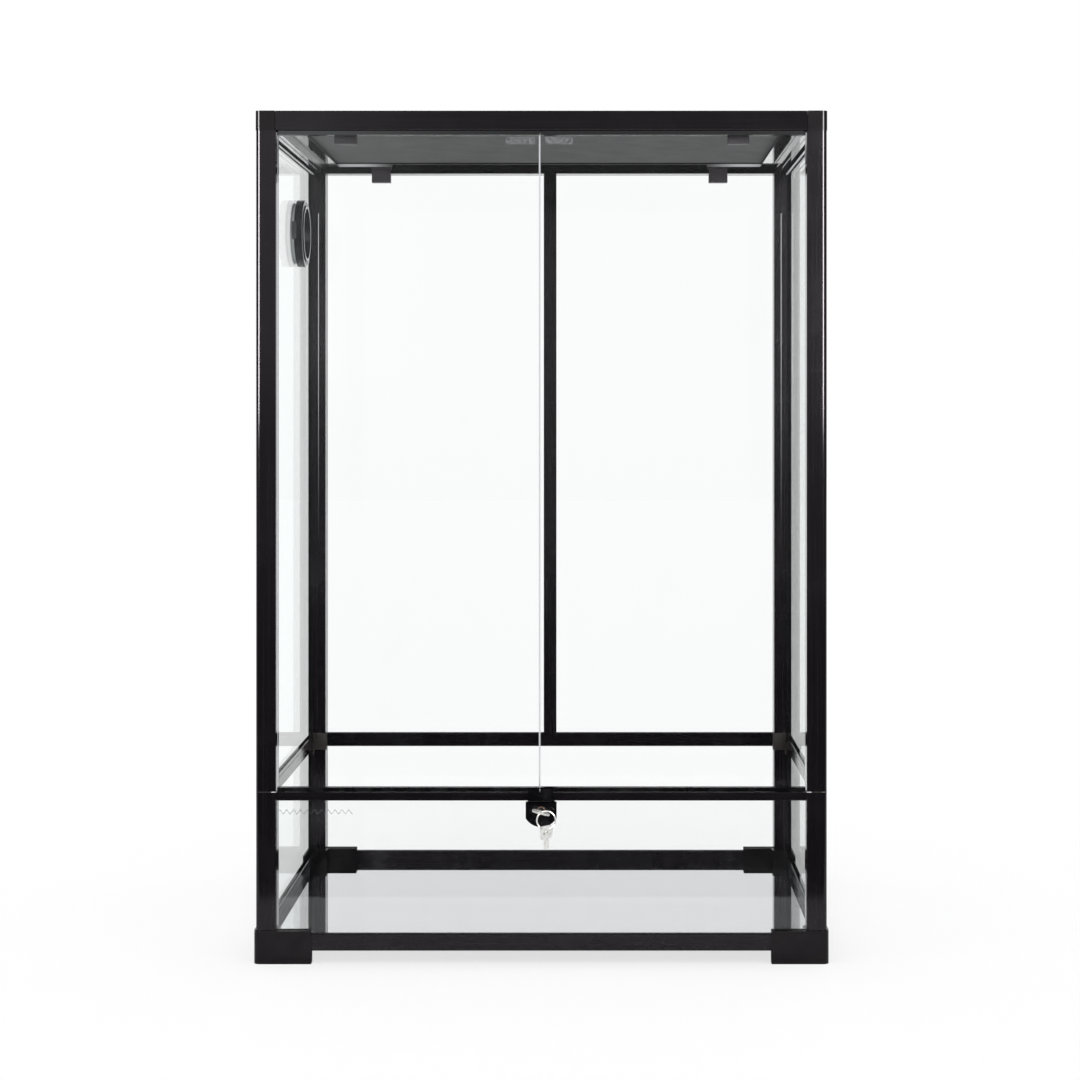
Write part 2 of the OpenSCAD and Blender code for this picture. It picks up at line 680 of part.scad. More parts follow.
// Clips: a stem through the screen's frame, a toe that slides under the rail
module at_clip(ix, iy)
    translate([ix * clip_x, iy * (frame_d / 2 - post_w - clip_seat - clip_travel - clip_toe), seat_z])
        mirror([0, iy > 0 ? 1 : 0, 0]) children();
module clip(ix, iy) color([0.15, 0.15, 0.16]) at_clip(ix, iy) {
    stem_h = pad_t + screen_h + fit;
    toe_h = clip_drop - 1;
    base_t = 1.6;
    grip_t = 1.4;
    leg_t = 2;
    translate([-clip_slot / 2 + fit, 0, -fit - base_t])
        cube([clip_slot - 2 * fit, clip_stem, stem_h + base_t + fit]);
    translate([-clip_slot / 2 - leg_t, -fit, stem_h])
        cube([clip_slot + 2 * leg_t, clip_stem + 2 * fit, grip_t]);
    translate([-clip_w / 2 - (ix > 0 ? leg_t : 0), 0, -fit - base_t])
        cube([clip_w + leg_t, clip_stem, base_t]);
    translate([-clip_w / 2, leg_t, -seat_h - clip_drop]) cube([clip_w, leg_t, seat_h + clip_drop - fit]);
    translate([-clip_w / 2, -clip_travel - clip_toe, -seat_h - clip_drop])
        cube([clip_w, clip_travel + clip_toe + 1.5 * leg_t, toe_h]);
}

place() foot(left, front);  // foot_front_left
place() foot(right, front);  // foot_front_right
place() foot(left, rear);  // foot_rear_left
place() foot(right, rear);  // foot_rear_right
place() bottom_rail(true, front);  // bottom_rail_front
place() bottom_rail(true, rear);  // bottom_rail_rear
place() bottom_rail(false, left);  // bottom_rail_left
place() bottom_rail(false, right);  // bottom_rail_right
place() floor_glass();
place() lower_post(left, front);  // lower_post_front_left
place() lower_post(right, front);  // lower_post_front_right
place() lower_post(left, rear);  // lower_post_rear_left
place() lower_post(right, rear);  // lower_post_rear_right
place() upper_post(left, front);  // upper_post_front_left
place() upper_post(right, front);  // upper_post_front_right
place() upper_post(left, rear);  // upper_post_rear_left
place() upper_post(right, rear);  // upper_post_rear_right
place() post_joiners();
place() sill_rail_front();
place() mid_rail_rear();
place() mid_rail_side(left);  // mid_rail_left
place() mid_rail_side(right);  // mid_rail_right
place() lower_glass_front();
place() lower_glass_rear();
place() lower_glass_side(left);  // lower_glass_left
place() lower_glass_side(right);  // lower_glass_right
place() upper_glass_left();
place() upper_glass_right();
place() upper_glass_rear(left);  // upper_glass_rear_left
place() upper_glass_rear(right);  // upper_glass_rear_right
place() rear_divider();
place() top_corner(left, front);  // top_corner_front_left
place() top_corner(right, front);  // top_corner_front_right
place() top_corner(left, rear);  // top_corner_rear_left
place() top_corner(right, rear);  // top_corner_rear_right
place() top_rail_front();
place() top_rail_rear();
place() top_rail_side(left);  // top_rail_left
place() top_rail_side(right);  // top_rail_right
place() lock_housing();
place() port_tube();
place() port_ring();
place() screen_frame();
place() screen_mesh();
place() clip(left, front);  // clip_front_left
place() clip(right, front);  // clip_front_right
place() clip(left, rear);  // clip_rear_left
place() clip(right, rear);  // clip_rear_right
place() door_glass(left);  // door_glass_left
place() door_glass(right);  // door_glass_right
place() door_strips(left);  // door_strips_left
place() door_strips(right);  // door_strips_right
place() door_catch(left);  // door_catch_left
place() door_catch(right);  // door_catch_right
place() lock_barrel();
place() lock_key();
place() key_ring();
place() spare_key();
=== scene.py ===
import math

import bmesh
import bpy
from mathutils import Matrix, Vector


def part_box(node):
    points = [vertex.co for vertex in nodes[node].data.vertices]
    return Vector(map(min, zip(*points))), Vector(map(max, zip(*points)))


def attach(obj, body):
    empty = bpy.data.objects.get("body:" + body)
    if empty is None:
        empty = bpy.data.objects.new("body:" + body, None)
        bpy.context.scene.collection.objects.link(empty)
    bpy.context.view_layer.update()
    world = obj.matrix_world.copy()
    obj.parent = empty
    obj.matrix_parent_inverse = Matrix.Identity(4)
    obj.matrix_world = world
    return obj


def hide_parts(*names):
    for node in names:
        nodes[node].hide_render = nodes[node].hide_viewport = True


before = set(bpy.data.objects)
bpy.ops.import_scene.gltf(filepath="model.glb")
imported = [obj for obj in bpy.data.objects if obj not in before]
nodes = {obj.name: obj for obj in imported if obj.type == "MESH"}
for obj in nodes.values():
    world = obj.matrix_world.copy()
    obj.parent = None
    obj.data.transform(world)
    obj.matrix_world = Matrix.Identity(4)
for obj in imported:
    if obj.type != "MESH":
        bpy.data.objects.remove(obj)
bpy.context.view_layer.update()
print("frame loaded,", len(nodes), "nodes")


# a socket that can stand in a sum
class Sock:
    def __init__(self, board, socket):
        self.board = board
        self.socket = socket

    def maths(self, operation, *values):
        return self.board.node("ShaderNodeMath", {"operation": operation}, dict(enumerate(values)))

    def __add__(self, other):
        return self.maths("ADD", self, other)

    def __sub__(self, other):
        return self.maths("SUBTRACT", self, other)

    def __rsub__(self, other):
        return self.maths("SUBTRACT", other, self)

    def __mul__(self, other):
        return self.maths("MULTIPLY", self, other)

    def __pow__(self, other):
        return self.maths("POWER", self, other)

    def __gt__(self, other):
        return self.maths("GREATER_THAN", self, other)

    def __lt__(self, other):
        return self.maths("LESS_THAN", self, other)

    def __abs__(self):
        return self.maths("ABSOLUTE", self)

    __radd__ = __add__
    __rmul__ = __mul__

    def either(self, other):
        return self.maths("MAXIMUM", self, other)

    def sine(self):
        return self.maths("SINE", self)

    def ranged(self, low, high):  # low where the socket is 0, high where it is 1
        return low + (high - low) * self

    def smooth(self, low, high, atLow=0.0, atHigh=1.0):  # eased step from low to high
        return self.board.node(
            "ShaderNodeMapRange",
            {"interpolation_type": "SMOOTHSTEP"},
            {0: self, 1: low, 2: high, 3: atLow, 4: atHigh},
        )


# node board of a material or of the world
class Board:
    def __init__(self, owner, outputKind):
        owner.use_nodes = True
        self.owner = owner
        self.tree = owner.node_tree
        self.tree.nodes.clear()
        self.output = self.tree.nodes.new(outputKind)

    def node(self, kind, settings=None, values=None, output=0):
        made = self.tree.nodes.new(kind)
        for key, value in (settings or {}).items():
            setattr(made, key, value)
        for key, value in (values or {}).items():
            if isinstance(value, Sock):
                self.tree.links.new(value.socket, made.inputs[key])
            else:
                made.inputs[key].default_value = value
        return Sock(self, made.outputs[output])

    def place(self):
        return self.node("ShaderNodeTexCoord", output="Object")

    def facing(self, axis):  # the piece's own normal, so that an opened door keeps its finish
        return self.part(self.node("ShaderNodeTexCoord", output="Normal"), axis)

    def vector(self, operation, *values, output=0):
        return self.node("ShaderNodeVectorMath", {"operation": operation}, dict(enumerate(values)), output)

    def part(self, vector, axis):
        return self.node("ShaderNodeSeparateXYZ", {}, {0: vector}, "XYZ".index(axis))

    def stretched(self, vector, scales):
        return self.vector("MULTIPLY", vector, scales)

    def distance(self, vector, kept, middle):  # from an axis: kept is 1 across it and 0 along it
        return self.vector("DISTANCE", self.stretched(vector, kept), middle, output=1)

    def noise(self, vector, scale, detail=3.0, roughness=0.55, warp=0.0):
        values = {
            "Vector": vector,
            "Scale": scale,
            "Detail": detail,
            "Roughness": roughness,
            "Distortion": warp,
        }
        return self.node("ShaderNodeTexNoise", {}, values)

    def blend(self, share, first, second):  # two colours
        values = {0: share, 6: rgb(first), 7: rgb(second)}
        return self.node("ShaderNodeMix", {"data_type": "RGBA"}, values, 2)

    def bump(self, height, strength, distance):
        values = {"Height": height, "Strength": strength, "Distance": distance}
        return self.node("ShaderNodeBump", {}, values)

    def paint(self, **values):
        given = {key.replace("_", " "): value for key, value in values.items()}
        return self.node("ShaderNodeBsdfPrincipled", {}, given)

    def glow(self, colour):
        return self.node("ShaderNodeEmission", {}, {"Color": colour, "Strength": 1.0})

    def layer(self, share, first, second):  # two shaders
        return self.node("ShaderNodeMixShader", {}, {0: share, 1: first, 2: second})

    def finish(self, shader):
        self.tree.links.new(shader.socket, self.output.inputs["Surface"])
        return self.owner


def newBoard(name):
    return Board(bpy.data.materials.new(name), "ShaderNodeOutputMaterial")


def rgb(colour):  # adds the alpha that a colour socket wants
    return colour if isinstance(colour, Sock) else (*colour, 1.0)


def lighter(colour, times):
    return [c * times for c in colour]


def within(value, low, high):
    return (value > low) * (value < high)


# camera: level, above the middle of the cabinet and a little to its right
cameraLook = {
    "at": (0.0577, -2.52875, 0.582),
    "lens": 73.25,
    "sensor": 36,
    "shiftX": -0.0519,
    "shiftY": -0.1185,
    "clip": (0.05, 100),
}
lensData = bpy.data.cameras.new("camera")
lensData.lens = cameraLook["lens"]
lensData.sensor_width = cameraLook["sensor"]
lensData.shift_x = cameraLook["shiftX"]
lensData.shift_y = cameraLook["shiftY"]
lensData.clip_start, lensData.clip_end = cameraLook["clip"]
camera = bpy.data.objects.new("camera", lensData)
camera.location = cameraLook["at"]
camera.rotation_euler = (math.radians(90), 0, 0)
bpy.context.scene.collection.objects.link(camera)
bpy.context.scene.camera = camera
bpy.context.scene.view_settings.view_transform = "Standard"

# studio: pale table, white backdrop, dim room in front, two tall soft boxes
studio = {
    "front": (0.22, 0.44),  # what gloss sees of the room in front, low down and higher up
    "horizon": (-0.05, 0.03),  # where the one turns into the other
    "glow": 0.42,  # brighter upper left of that room
    "glowEdge": (-0.06, -0.14),
    "glowLow": (0.0, 0.03),
    "glowHigh": (0.08, 0.13),
    "glowRise": 0.8,
    "ahead": (-0.45, -0.90),  # the sides fade into the room in front
    "behind": (0.60, 0.86),  # and into the white backdrop
    "side": 0.28,  # brightness of the sides
    "fill": 1.04,  # light from all round
}
tableLook = {
    "size": 12,
    "paper": ((0.985, 0.985, 0.985), (1.0, 1.0, 1.0)),
    "roughness": 0.75,
    "grain": (900, 2),
    "lift": 0.7,  # share of the shadow that the camera does not see
    "front": -0.52275,  # gloss sees the white table up to here
    "floor": (0.03, 0.26),  # and a dark floor beyond it, near and far
    "farEnd": -9.0,
}
boxLook = {
    "boxes": (  # place, aim, width, height
        ((-1.50, -1.95, 1.25), (0, 0, 1.25), 0.95, 1.36),
        ((1.08, -2.28, 1.25), (0, 0, 1.25), 0.85, 1.36),
    ),
    "soft": 0.3,  # radiance on matt surfaces
    "sparkle": 50.0,  # and on glossy ones
    "apart": 0.02,  # the glossy twin stands this far in front
}
white = (1.0, 1.0, 1.0, 1.0)


def raysOf(board):
    outputs = board.node("ShaderNodeLightPath").socket.node.outputs
    return {kind: Sock(board, outputs[f"Is {kind} Ray"]) for kind in ("Camera", "Transmission", "Glossy")}


def buildWorld():
    world = bpy.data.worlds.new("studio")
    bpy.context.scene.world = world
    board = Board(world, "ShaderNodeOutputWorld")
    rays = raysOf(board)
    seen = (rays["Camera"] + rays["Transmission"]).smooth(0, 1)
    towards = board.node("ShaderNodeTexCoord", output="Generated")
    across, depth, height = (board.part(towards, axis) for axis in "XYZ")
    rise = height.smooth(*studio["glowLow"]) + height.smooth(*studio["glowHigh"]) * studio["glowRise"]
    glow = across.smooth(*studio["glowEdge"]) * rise * studio["glow"]
    room = height.smooth(*studio["horizon"], *studio["front"]) + glow
    ahead = depth.smooth(*studio["ahead"])
    around = ahead * room + (1 - ahead) * depth.smooth(*studio["behind"], studio["side"], 1.0)
    gloss = rays["Glossy"]
    strength = seen + (1 - seen) * (gloss * around + (1 - gloss) * studio["fill"])
    board.finish(board.node("ShaderNodeBackground", {}, {"Color": white, "Strength": strength}))


def buildTable():
    grid = bmesh.new()
    bmesh.ops.create_grid(grid, x_segments=8, y_segments=8, size=tableLook["size"])
    data = bpy.data.meshes.new("table")
    grid.to_mesh(data)
    grid.free()
    table = bpy.data.objects.new("table", data)
    bpy.context.scene.collection.objects.link(table)
    board = newBoard("tablePaper")
    grain = board.noise(board.place(), *tableLook["grain"])
    plain = board.paint(
        Base_Color=board.blend(grain, *tableLook["paper"]),
        Roughness=tableLook["roughness"],
        Specular_IOR_Level=0.0,
    )
    rays = raysOf(board)
    plain = board.layer(rays["Camera"] * tableLook["lift"], plain, board.glow(white))
    reach = board.part(board.place(), "Y")
    room = board.glow(reach.smooth(tableLook["front"], tableLook["farEnd"], *tableLook["floor"]))
    beyond = rays["Glossy"] * (reach < tableLook["front"])
    data.materials.append(board.finish(board.layer(beyond, plain, room)))


def buildBoxes():
    lit = bpy.data.collections.new("sparkling")  # what the glossy boxes light: no rail, pane or screen
    for name, node in nodes.items():
        if not ("rail" in name or "glass" in name or name.startswith("screen")):
            lit.objects.link(node)
    for number, (at, aim, wide, high) in enumerate(boxLook["boxes"]):
        for kind in ("soft", "sparkle"):
            glossy = kind == "sparkle"
            lamp = bpy.data.lights.new(f"box{number}{kind}", "AREA")
            lamp.shape = "RECTANGLE"
            lamp.size, lamp.size_y = wide, high
            lamp.energy = boxLook[kind] * wide * high * math.pi  # watts for that radiance
            holder = bpy.data.objects.new(lamp.name, lamp)
            way = Vector(aim) - Vector(at)
            holder.location = Vector(at) + way.normalized() * (boxLook["apart"] if glossy else 0)
            holder.rotation_euler = way.to_track_quat("-Z", "Y").to_euler()
            holder.visible_camera = False
            holder.visible_transmission = False
            holder.visible_diffuse = not glossy
            holder.visible_glossy = glossy
            if glossy:
                holder.light_linking.receiver_collection = lit
            bpy.context.scene.collection.objects.link(holder)


buildWorld()
buildTable()
buildBoxes()
print("studio ready")

# how far a normal leans towards an axis: on a face square to it, and on one that mostly faces it
square = 0.9
mostly = 0.5

# faces that look down keep a lacquer shine, less of it towards the left
lacquerLook = {"fade": (-0.26, 0.0), "least": 0.25, "roughness": 0.02}


def underside(board):
    share = board.part(board.place(), "X").smooth(*lacquerLook["fade"], lacquerLook["least"], 1.0)
    return (board.facing("Z") < -square) * share


# black extruded profile with faint drawn streaks along its length
profileLook = {
    "black": (0.0062, 0.0050, 0.0066),
    "worn": (0.0120, 0.0106, 0.0130),
    "roughness": (0.06, 0.13),
    "sheen": 0.26,
    "tint": (1.0, 0.93, 0.99),
    "bump": (0.03, 0.0004),  # strength and distance, here and below
    "across": 520.0,  # scales of the drawn streaks
    "along": 7.0,
    "streaks": (1.0, 4, 0.6),  # scale, detail, roughness and warp of a noise, here and below
    "cloud": (14, 4, 0.6, 0.4),
    "dust": (900, 2, 0.7),
    "patches": (0.45, 0.75),  # noise values where wear begins and where it is full
    "dustPatches": (0.62, 0.80),
    "wear": (0.6, 0.5, 0.35),  # shares of streaks, cloud and dust in it
    "haze": (0.7, 0.5),  # shares of cloud and streaks in the roughness
}
mattLook = {  # undersides of the top rails are matt ahead of "front" and outside of "side"
    "front": -0.19,
    "side": 0.2895,
    "above": 0.5,
    "black": (0.006, 0.005, 0.006),
    "roughness": 0.8,
}
ridgeHighlightLook = {  # painted highlight: a bright line along the inner half of the rear posts, fading out downwards
    "side": 0.2888,
    "half": 0.00042,
    "fade": (0.40, 0.78),
    "top": 0.83,
    "share": (0.7, 1.1),
    "bright": (0.78, 0.78, 0.80),
}
stripeReflectionLook = {  # painted reflection: light and dark stripes along the inner side of the low side rails
    "side": 0.297,
    "stretch": (0, 3, 420),
    "reflectionStripes": (1.0, 2, 0.7),
    "patches": (0.42, 0.58),
    "dark": (0.016, 0.017, 0.019),
    "light": (0.055, 0.058, 0.060),
    "matt": 0.65,
    "roughness": 0.6,
}


def profileBlack(along, line=""):
    board = newBoard("profileBlack" + along + line.title())
    place = board.place()
    across, depth, height = (board.part(place, axis) for axis in "XYZ")
    stretch = tuple(profileLook["along"] if axis == along else profileLook["across"] for axis in "XYZ")
    drawn = board.noise(board.stretched(place, stretch), *profileLook["streaks"])
    cloud = board.noise(place, *profileLook["cloud"])
    dust = board.noise(place, *profileLook["dust"]).smooth(*profileLook["dustPatches"])
    patches = profileLook["patches"]
    byStreaks, byCloud, byDust = profileLook["wear"]
    worn = drawn.smooth(*patches) * byStreaks + cloud.smooth(*patches) * byCloud + dust * byDust
    cloudHaze, drawnHaze = profileLook["haze"]
    colour = board.blend(worn, profileLook["black"], profileLook["worn"])
    if line == "post":
        # painted highlight on the rear posts: a thin bright line that fades out downwards
        ridge = abs(abs(across) - ridgeHighlightLook["side"]) < ridgeHighlightLook["half"]
        ridgeHighlight = ridge * height.smooth(*ridgeHighlightLook["fade"]) * (height < ridgeHighlightLook["top"])
        colour = board.blend(ridgeHighlight * drawn.ranged(*ridgeHighlightLook["share"]), colour, ridgeHighlightLook["bright"])
    if line == "low":
        inner = abs(board.facing("X")) > square
        # painted reflection stripes on the inner faces of the low side rails
        stripeNoise = board.noise(board.stretched(place, stripeReflectionLook["stretch"]), *stripeReflectionLook["reflectionStripes"])
        reflectionStripes = board.blend(stripeNoise.smooth(*stripeReflectionLook["patches"]), stripeReflectionLook["dark"], stripeReflectionLook["light"])
        colour = board.blend(inner * (abs(across) < stripeReflectionLook["side"]), colour, reflectionStripes)
    painted = board.paint(
        Base_Color=colour,
        Roughness=(cloud * cloudHaze + drawn * drawnHaze).ranged(*profileLook["roughness"]),
        Specular_IOR_Level=profileLook["sheen"],
        Specular_Tint=rgb(profileLook["tint"]),
        Coat_Weight=underside(board),
        Coat_Roughness=lacquerLook["roughness"],
        Normal=board.bump(drawn, *profileLook["bump"]),
    )
    # those inner faces are mostly matt, so the painted stripes stand in for their reflection
    if line == "low":
        dull = board.paint(Base_Color=colour, Roughness=stripeReflectionLook["roughness"], Specular_IOR_Level=0.0)
        return board.finish(board.layer(inner * stripeReflectionLook["matt"], painted, dull))
    bare = board.paint(
        Base_Color=rgb(mattLook["black"]),
        Roughness=mattLook["roughness"],
        Specular_IOR_Level=0.0,
    )
    edge = (depth < mattLook["front"]).either(abs(across) > mattLook["side"])
    matt = (board.facing("Z") < -square) * (height > mattLook["above"]) * edge
    return board.finish(board.layer(matt, painted, bare))


# satin moulding of the feet and corner blocks
mouldingLook = {
    "black": (0.0064, 0.0050, 0.0062),
    "worn": (0.0110, 0.0092, 0.0104),
    "roughness": (0.08, 0.14),
    "sheen": 0.15,
    "bump": (0.04, 0.0002),
    "grain": (1500.0, 2, 0.6),
    "cloud": (35, 4, 0.6, 0.3),
    "patches": (0.35, 0.75),
    "wear": (0.8, 0.2),  # shares of cloud and grain in it
}
clipLook = dict(mouldingLook, roughness=(0.35, 0.5), sheen=0.1)
rimHighlightLook = {  # painted highlight on the lower edge of the screen frame's rear member, brightest near the corners
    "top": 0.8895,
    "depth": 0.15,
    "fade": (0.19, 0.24),
    "shares": (0.10, 0.85),
    "bright": (0.78, 0.78, 0.80),
}


def mouldedBlack(name, look=mouldingLook, lift=1.0, lacquer=False, rim=False):
    board = newBoard(name)
    place = board.place()
    grain = board.noise(place, *look["grain"])
    cloud = board.noise(place, *look["cloud"])
    cloudWear, grainWear = look["wear"]
    worn = cloud.smooth(*look["patches"]) * cloudWear + grain * grainWear
    colour = board.blend(worn, lighter(look["black"], lift), lighter(look["worn"], lift))
    if rim:
        across, depth, height = (board.part(place, axis) for axis in "XYZ")
        # painted highlight on the rear member's lower front edge, stronger towards the corners
        bare = (height < rimHighlightLook["top"]) * (depth > rimHighlightLook["depth"]) * (board.facing("Y") < -mostly)
        share = bare * abs(across).smooth(*rimHighlightLook["fade"], *rimHighlightLook["shares"])
        colour = board.blend(share, colour, rimHighlightLook["bright"])
    return board.finish(
        board.paint(
            Base_Color=colour,
            Roughness=cloud.ranged(*look["roughness"]),
            Specular_IOR_Level=look["sheen"],
            Coat_Weight=underside(board) if lacquer else 0.0,
            Coat_Roughness=lacquerLook["roughness"],
            Normal=board.bump(grain, *look["bump"]),
        )
    )


# port moulding: painted highlights on its lips, on specks inside the mouth and on the edge of its outer
# flange
portLook = {
    "black": (0.0085, 0.0090, 0.0120),
    "worn": (0.0170, 0.0180, 0.0230),
    "bright": (0.78, 0.79, 0.80),
    "roughness": (0.16, 0.30),
    "sheen": 0.22,
    "bump": (0.05, 0.0002),
    "cloud": (60, 4, 0.6, 0.3),
    "grain": (1600, 2, 0.6),
    "speck": (700, 3, 0.7),
    "specks": (0.66, 0.74),
    "speckShare": 0.25,
    "rim": 0.0387,  # radii of the two lips
    "mouth": 0.0308,
    "lipWidth": 0.0009,
    "lipShare": (0.65, 1.25),
    "flangeFace": -0.3000,  # the outer flange lies beyond this
    "flangeStart": 0.002,  # and starts this far outside the mouth
}


def portMiddle():
    low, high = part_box("port_tube")
    return 0, (low.y + high.y) / 2, (low.z + high.z) / 2


def portFinish():
    board = newBoard("portBlack")
    place = board.place()
    away = board.distance(place, (0, 1, 1), portMiddle())
    cloud = board.noise(place, *portLook["cloud"])
    grain = board.noise(place, *portLook["grain"])
    rim, mouth = (abs(away - portLook[lip]) < portLook["lipWidth"] for lip in ("rim", "mouth"))
    lips = rim.either(mouth) * (board.facing("X") > mostly) * cloud.ranged(*portLook["lipShare"])
    speck = board.noise(place, *portLook["speck"]).smooth(*portLook["specks"])
    speck = speck * (away < portLook["mouth"]) * portLook["speckShare"]
    outside = board.part(place, "X") < portLook["flangeFace"]
    flange = outside * (away > portLook["mouth"] + portLook["flangeStart"])
    flange = flange * (1 - (board.facing("X") < -mostly))  # its edge only, not its outer face
    # painted highlights: lips, specks and the flange's edge turn bright
    shine = lips.either(speck).either(flange)
    colour = board.blend(cloud, portLook["black"], portLook["worn"])
    return board.finish(
        board.paint(
            Base_Color=board.blend(shine, colour, portLook["bright"]),
            Roughness=cloud.ranged(*portLook["roughness"]),
            Specular_IOR_Level=portLook["sheen"],
            Normal=board.bump(grain, *portLook["bump"]),
        )
    )


# plates between the posts: painted highlight on their front edge near the opening, where light shows through
# the gap, and a tan painted reflection at the right corner
jointLook = {
    "height": 0.1814,
    "half": 0.0010,
    "front": -0.15,
    "inner": (0.2790, 0.2850),
    "outer": (0.2960, 0.3000),  # tan painted reflection, on the right corner only
    "black": (0.035, 0.028, 0.026),
    "bright": (0.80, 0.80, 0.80),
    "tan": (0.22, 0.17, 0.13),
    "tanShare": 0.8,
    "roughness": (0.3, 0.5),
    "sheen": 0.15,
    "speck": (900, 3, 0.6),
    "specks": (0.2, 0.6, 0.5, 1.0),
}


def jointBlack():
    board = newBoard("jointBlack")
    place = board.place()
    across, depth, height = (board.part(place, axis) for axis in "XYZ")
    speck = board.noise(place, *jointLook["speck"])
    ahead = (board.facing("Y") < -mostly) * (depth < jointLook["front"])
    ahead = ahead * (abs(height - jointLook["height"]) < jointLook["half"])
    # painted highlight on the edge near the opening, and a tan painted reflection at the right corner
    bright = within(abs(across), *jointLook["inner"]) * ahead * speck.smooth(*jointLook["specks"])
    tan = within(across, *jointLook["outer"]) * ahead
    dull = board.blend(tan * jointLook["tanShare"], jointLook["black"], jointLook["tan"])
    return board.finish(
        board.paint(
            Base_Color=board.blend(bright, dull, jointLook["bright"]),
            Roughness=speck.ranged(*jointLook["roughness"]),
            Specular_IOR_Level=jointLook["sheen"],
        )
    )


# clear glass: mirrors more the flatter it is seen, and carries a trace of dust
glassLook = {
    "tint": (0.996, 0.9995, 0.999),
    "mirror": 0.012,  # what it mirrors when seen straight on
    "graze": 10.8,  # how late the mirror grows as the view gets flatter
    "gleam": (0.96, 1.0, 0.99),
    "dust": 0.012,
    "dirt": (0.80, 0.84, 0.86),
    "dirtRoughness": 0.8,
    "dirtSheen": 0.1,
    "haze": (9, 5, 0.62, 1.2),
    "hazePatches": (0.52, 0.80),
    "speck": (420, 2, 0.8),
    "specks": (0.70, 0.78),
    "wiping": (60, 60, 9),  # stretch of the wiped streaks
    "wiped": (1.0, 4, 0.7, 0.8),
    "wipedPatches": (0.56, 0.76),
    "shares": (0.7, 0.7, 2.0),  # of haze, wiped streaks and specks in the dust
    "held": (0.012, 0.016, 0.016),  # edges in grooves, painted dark: painted shade
    "free": (0.80, 0.84, 0.84),  # polished edges that sit free, painted pale: painted light in the edge
    "freeShare": (0.8, 1.0),
    "holeReach": 0.060,  # edges nearer to the port than this are free
    "ripple": (260, 3, 0.6),
    "rimRoughness": (0.12, 0.32),
    "rimSheen": 0.3,
}


def clearGlass(name, across, polished="", **changes):
    look = dict(glassLook, **changes)
    board = newBoard(name)
    place = board.place()
    facing = board.node("ShaderNodeLayerWeight", {}, {"Blend": 0.5}, "Facing")
    mirror = look["mirror"] + (1 - look["mirror"]) * facing ** look["graze"]
    through = board.node("ShaderNodeBsdfTransparent", {}, {"Color": rgb(look["tint"])})
    gloss = board.node("ShaderNodeBsdfGlossy", {}, {"Color": rgb(look["gleam"]), "Roughness": 0.0})
    haze = board.noise(place, *look["haze"]).smooth(*look["hazePatches"])
    speck = board.noise(place, *look["speck"]).smooth(*look["specks"])
    wiped = board.noise(board.stretched(place, look["wiping"]), *look["wiped"]).smooth(*look["wipedPatches"])
    dirt = board.paint(
        Base_Color=rgb(look["dirt"]),
        Roughness=look["dirtRoughness"],
        Specular_IOR_Level=look["dirtSheen"],
    )
    hazeShare, wipedShare, speckShare = look["shares"]
    dusty = (haze * hazeShare + wiped * wipedShare + speck * speckShare) * look["dust"]
    pane = board.layer(dusty, board.layer(mirror, through, gloss), dirt)
    ripple = board.noise(place, *look["ripple"])
    pale = ripple.ranged(*look["freeShare"])
    # edge faces: painted shade where held in grooves, painted light where free
    colour = rgb(look["held"])
    if polished == "all":
        colour = board.blend(pale, look["held"], look["free"])
    if polished == "hole":  # the other edges of this pane sit in grooves
        free = board.distance(place, (0, 1, 1), portMiddle()) < look["holeReach"]
        colour = board.blend(free * pale, look["held"], look["free"])
    rim = board.paint(
        Base_Color=colour,
        Roughness=ripple.ranged(*look["rimRoughness"]),
        Specular_IOR_Level=look["rimSheen"],
    )
    return board.finish(board.layer(abs(board.facing(across)) < mostly, pane, rim))


# glossy black of strips, catches and lock housing
glossLook = {
    "roughness": {"strip": (0.08, 0.15), "lock": (0.05, 0.09)},
    "black": (0.0034, 0.0031, 0.0038),
    "cloudsAndBevelHighlight": (0.045, 0.045, 0.048),
    "cloud": (60, 4, 0.6, 0.3),
    "patches": (0.4, 0.8),
    "cloudShare": 0.3,
    "fine": (1400, 2, 0.6),
    "bump": (0.03, 0.0002),
    "upper": (0.022, 0.023, 0.023),  # strips at the top of the doors: painted reflection of the brighter room above, lighter towards the left
    "upperAbove": 0.5,
    "upperFade": (0.0, -0.28),
    "upperLift": 2.4,
    "bevel": (-0.95, -0.30),  # normals of the lock's front bevels, which get a painted highlight
    "sheen": 0.22,
    "mattRoughness": 0.8,
}


def glossBlack(kind):
    board = newBoard(kind + "Black")
    place = board.place()
    cloud = board.noise(place, *glossLook["cloud"])
    fine = board.noise(place, *glossLook["fine"])
    cloudsAndBevelHighlight = cloud.smooth(*glossLook["patches"]) * glossLook["cloudShare"]
    if kind == "lock":
        # painted highlight on the lock's front bevels
        cloudsAndBevelHighlight = cloudsAndBevelHighlight.either(within(board.facing("Y"), *glossLook["bevel"]))
    colour = board.blend(cloudsAndBevelHighlight, glossLook["black"], glossLook["cloudsAndBevelHighlight"])
    # painted reflection on the strips at the top of the doors
    if kind == "strip":
        top = board.part(place, "Z") > glossLook["upperAbove"]
        left = board.part(place, "X").smooth(*glossLook["upperFade"])
        upper = board.blend(left, glossLook["upper"], lighter(glossLook["upper"], glossLook["upperLift"]))
        colour = board.blend(top, colour, upper)
    painted = board.paint(
        Base_Color=colour,
        Roughness=cloud.ranged(*glossLook["roughness"][kind]),
        Specular_IOR_Level=glossLook["sheen"],
        Normal=board.bump(fine, *glossLook["bump"]),
    )
    if kind == "lock":  # matt on top
        bare = board.paint(
            Base_Color=rgb(glossLook["black"]),
            Roughness=glossLook["mattRoughness"],
            Specular_IOR_Level=0.0,
        )
        painted = board.layer(board.facing("Z") > square, painted, bare)
    return board.finish(painted)


